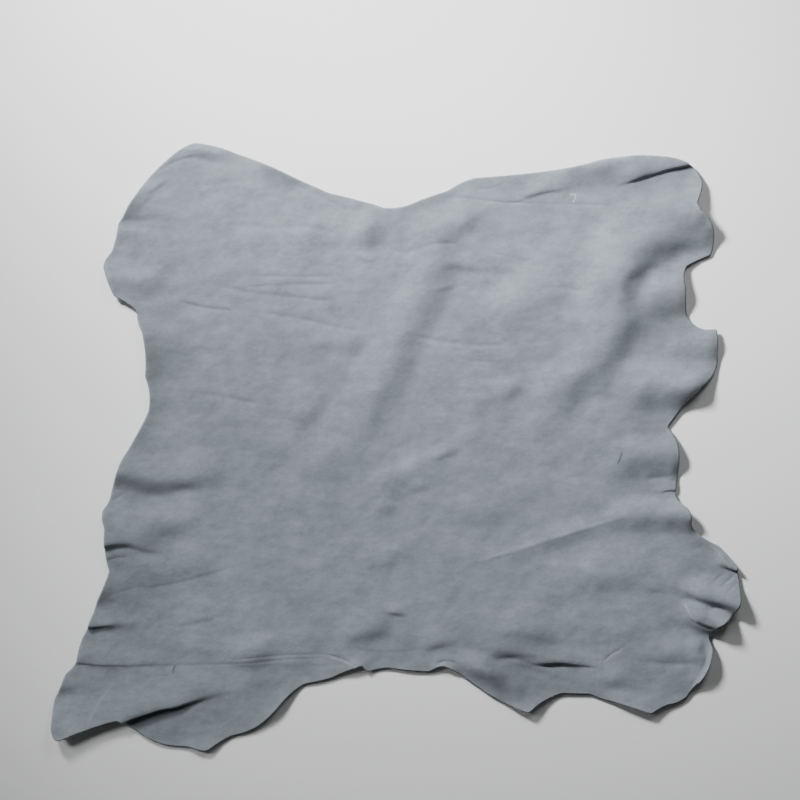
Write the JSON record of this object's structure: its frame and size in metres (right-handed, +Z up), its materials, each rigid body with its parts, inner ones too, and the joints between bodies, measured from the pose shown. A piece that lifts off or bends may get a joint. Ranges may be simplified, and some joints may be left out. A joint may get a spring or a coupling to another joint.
{
  "type": "leather hide",
  "caption": "Whole dressed nubuck hide, lying loose and nearly flat, with leg and flank outlines, soft swells, creases and pleats along its edges.",
  "frame": {"origin": "centre of the bounding box's bottom face, on the surface that the hide lies on", "axes": "+X across the hide, from its left flank to its right flank as seen from above; +Y along the backbone towards the neck; +Z up, out of the nubuck side"},
  "size_m": [1.0294, 0.9105, 0.028],
  "materials": {
    "nubuck": "matt, brushed nap"
  },
  "bodies": {
    "root": {"hide": "nubuck"}
  },
  "joints": []
}
